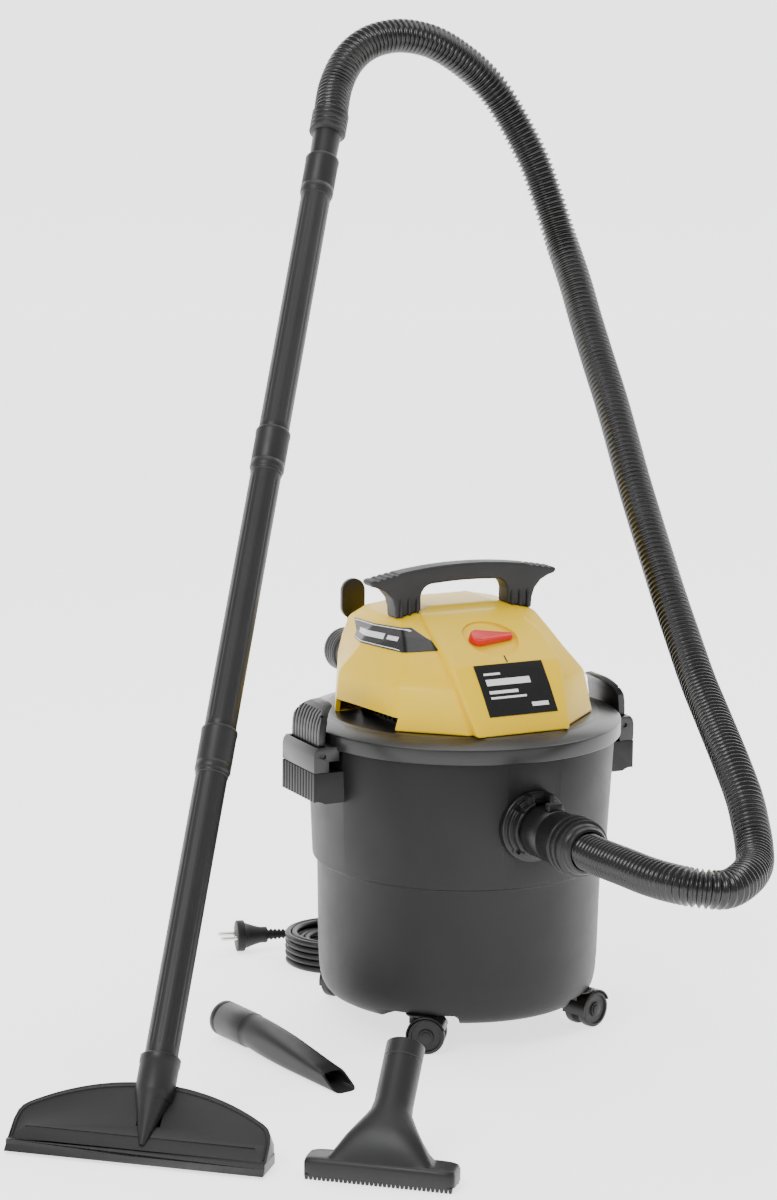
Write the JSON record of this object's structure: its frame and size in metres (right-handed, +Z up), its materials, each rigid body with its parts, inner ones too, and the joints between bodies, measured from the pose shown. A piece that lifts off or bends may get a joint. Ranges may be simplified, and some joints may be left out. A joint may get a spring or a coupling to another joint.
{
  "type": "shop vacuum",
  "caption": "Wet and dry shop vacuum: round tank on casters, latched motor head with carry handle, corrugated hose, upright wand, floor nozzle and two loose tools.",
  "frame": {"origin": "the tank's vertical axis where it meets the floor, under the casters", "axes": "+Z up, -Y towards the front where the hose plugs in, +X to the right, latches on the X sides"},
  "size_m": [0.8908, 0.8628, 1.0379],
  "materials": {
    "tank_plastic": "fine moulded grain, satin",
    "lid_plastic": "smooth satin-gloss moulding",
    "yellow_plastic": "smooth semi-gloss moulding",
    "red_plastic": "glossy moulding",
    "white_plastic": "matte moulding",
    "grey_plastic": "matte moulding",
    "gloss_black": "semi-gloss moulding",
    "vent_plastic": "matte moulding",
    "handle_rubber": "soft-touch satin",
    "fitting_plastic": "fine-grained moulding",
    "hose_plastic": "glossy corrugated tube",
    "wand_plastic": "satin extruded and moulded plastic",
    "caster_plastic": "semi-gloss moulding",
    "wheel_plastic": "hard matte wheel",
    "rubber": "matte",
    "cord_rubber": "satin sheath",
    "bristle": "nylon bristle strip",
    "label_black": "printed film",
    "foam": "open-cell foam",
    "steel": "plated",
    "aluminium": "pressed sheet",
    "copper": "enamelled winding",
    "brass": "nickel-plated pins"
  },
  "bodies": {
    "tank_body": {"tank": "tank_plastic", "inlet_port": "tank_plastic", "inlet_gasket": "rubber", "inlet_deflector": "tank_plastic", "inlet_screws": "steel", "hose_cuff": "fitting_plastic", "hose": "hose_plastic", "hose_end_cuff": "fitting_plastic", "wand_tube_1": "wand_plastic", "wand_tube_2": "wand_plastic", "wand_tube_3": "wand_plastic", "floor_nozzle": "wand_plastic", "nozzle_brush": "bristle", "cord_lead": "cord_rubber", "cord_coil": "cord_rubber", "cord_tail": "cord_rubber", "plug_body": "cord_rubber", "plug_pins": "brass"},
    "head": {"head_base": "lid_plastic", "lid_seal": "rubber", "head_cover": "yellow_plastic", "cover_screws": "steel", "front_panel": "label_black", "side_label": "label_black", "vent_grille": "vent_plastic", "carry_handle": "handle_rubber", "handle_screws": "steel", "blower_port": "grey_plastic", "cord_hook": "gloss_black", "cord_gland": "rubber", "fan_housing": "grey_plastic", "motor_can": "steel", "motor_stator": "copper", "switch_body": "vent_plastic", "float_cage": "vent_plastic", "foam_filter": "foam", "latch_pin_left": "steel", "latch_pin_right": "steel"},
    "rotor": {"motor_rotor": "copper", "fan_impeller": "aluminium"},
    "switch": {"switch_knob": "red_plastic"},
    "float": {"float_ball": "white_plastic"},
    "latch_l": {"latch_left": "gloss_black"},
    "latch_r": {"latch_right": "gloss_black"},
    "tab": {"release_tab": "fitting_plastic"},
    "crevice": {"crevice_tool": "wand_plastic"},
    "upholstery": {"upholstery_nozzle": "wand_plastic", "upholstery_bristles": "bristle"},
    "caster_1": {"caster_fork_1": "caster_plastic"},
    "wheel_1": {"caster_wheels_1": "wheel_plastic", "caster_axle_1": "steel"},
    "caster_2": {"caster_fork_2": "caster_plastic"},
    "wheel_2": {"caster_wheels_2": "wheel_plastic", "caster_axle_2": "steel"},
    "caster_3": {"caster_fork_3": "caster_plastic"},
    "wheel_3": {"caster_wheels_3": "wheel_plastic", "caster_axle_3": "steel"},
    "caster_4": {"caster_fork_4": "caster_plastic"},
    "wheel_4": {"caster_wheels_4": "wheel_plastic", "caster_axle_4": "steel"}
  },
  "joints": [
    {"name": "head_lift", "type": "slide", "parent": "tank_body", "child": "head", "axis": [0, 0, 1], "range_m": [0, 0.25]},
    {"name": "caster_1_swivel", "type": "hinge", "parent": "tank_body", "child": "caster_1", "pos_m": [-0.09617, -0.09617, 0.05], "axis": [0, 0, 1], "continuous": true},
    {"name": "wheel_1_roll", "type": "hinge", "parent": "caster_1", "child": "wheel_1", "pos_m": [-0.08797, -0.1019, 0.019], "axis": [0.5736, 0.8192, 0], "continuous": true},
    {"name": "caster_2_swivel", "type": "hinge", "parent": "tank_body", "child": "caster_2", "pos_m": [0.09617, -0.09617, 0.05], "axis": [0, 0, 1], "continuous": true},
    {"name": "wheel_2_roll", "type": "hinge", "parent": "caster_2", "child": "wheel_2", "pos_m": [0.10556, -0.09275, 0.019], "axis": [-0.342, 0.9397, 0], "continuous": true},
    {"name": "caster_3_swivel", "type": "hinge", "parent": "tank_body", "child": "caster_3", "pos_m": [0.09617, 0.09617, 0.05], "axis": [0, 0, 1], "continuous": true},
    {"name": "wheel_3_roll", "type": "hinge", "parent": "caster_3", "child": "wheel_3", "pos_m": [0.10117, 0.08751, 0.019], "axis": [0.866, 0.5, 0], "continuous": true},
    {"name": "caster_4_swivel", "type": "hinge", "parent": "tank_body", "child": "caster_4", "pos_m": [-0.09617, 0.09617, 0.05], "axis": [0, 0, 1], "continuous": true},
    {"name": "wheel_4_roll", "type": "hinge", "parent": "caster_4", "child": "wheel_4", "pos_m": [-0.08751, 0.10117, 0.019], "axis": [-0.5, 0.866, 0], "continuous": true},
    {"name": "rotor_spin", "type": "hinge", "parent": "head", "child": "rotor", "pos_m": [0, 0, 0.37], "axis": [0, 0, 1], "continuous": true},
    {"name": "switch_turn", "type": "hinge", "parent": "head", "child": "switch", "pos_m": [0, -0.062, 0.421], "axis": [0, -0.454, 0.891], "range_deg": [-90, 0]},
    {"name": "float_rise", "type": "slide", "parent": "head", "child": "float", "axis": [0, 0, 1], "range_m": [0, 0.058]},
    {"name": "latch_left_open", "type": "hinge", "parent": "head", "child": "latch_l", "pos_m": [-0.178, 0, 0.306], "axis": [0, -1, 0], "range_deg": [0, 18]},
    {"name": "latch_right_open", "type": "hinge", "parent": "head", "child": "latch_r", "pos_m": [0.178, 0, 0.306], "axis": [0, 1, 0], "range_deg": [0, 18]},
    {"name": "tab_press", "type": "hinge", "parent": "tank_body", "child": "tab", "pos_m": [0, -0.19, 0.2655], "axis": [1, 0, 0], "range_deg": [0, 6], "stiffness_Nm_per_rad": 0.05},
    {"name": "crevice_tool_pick_up", "type": "slide", "parent": "tank_body", "child": "crevice", "axis": [0, 0, 1], "range_m": [0, 0.15]},
    {"name": "upholstery_nozzle_pick_up", "type": "slide", "parent": "tank_body", "child": "upholstery", "axis": [0, 0, 1], "range_m": [0, 0.15]}
  ]
}
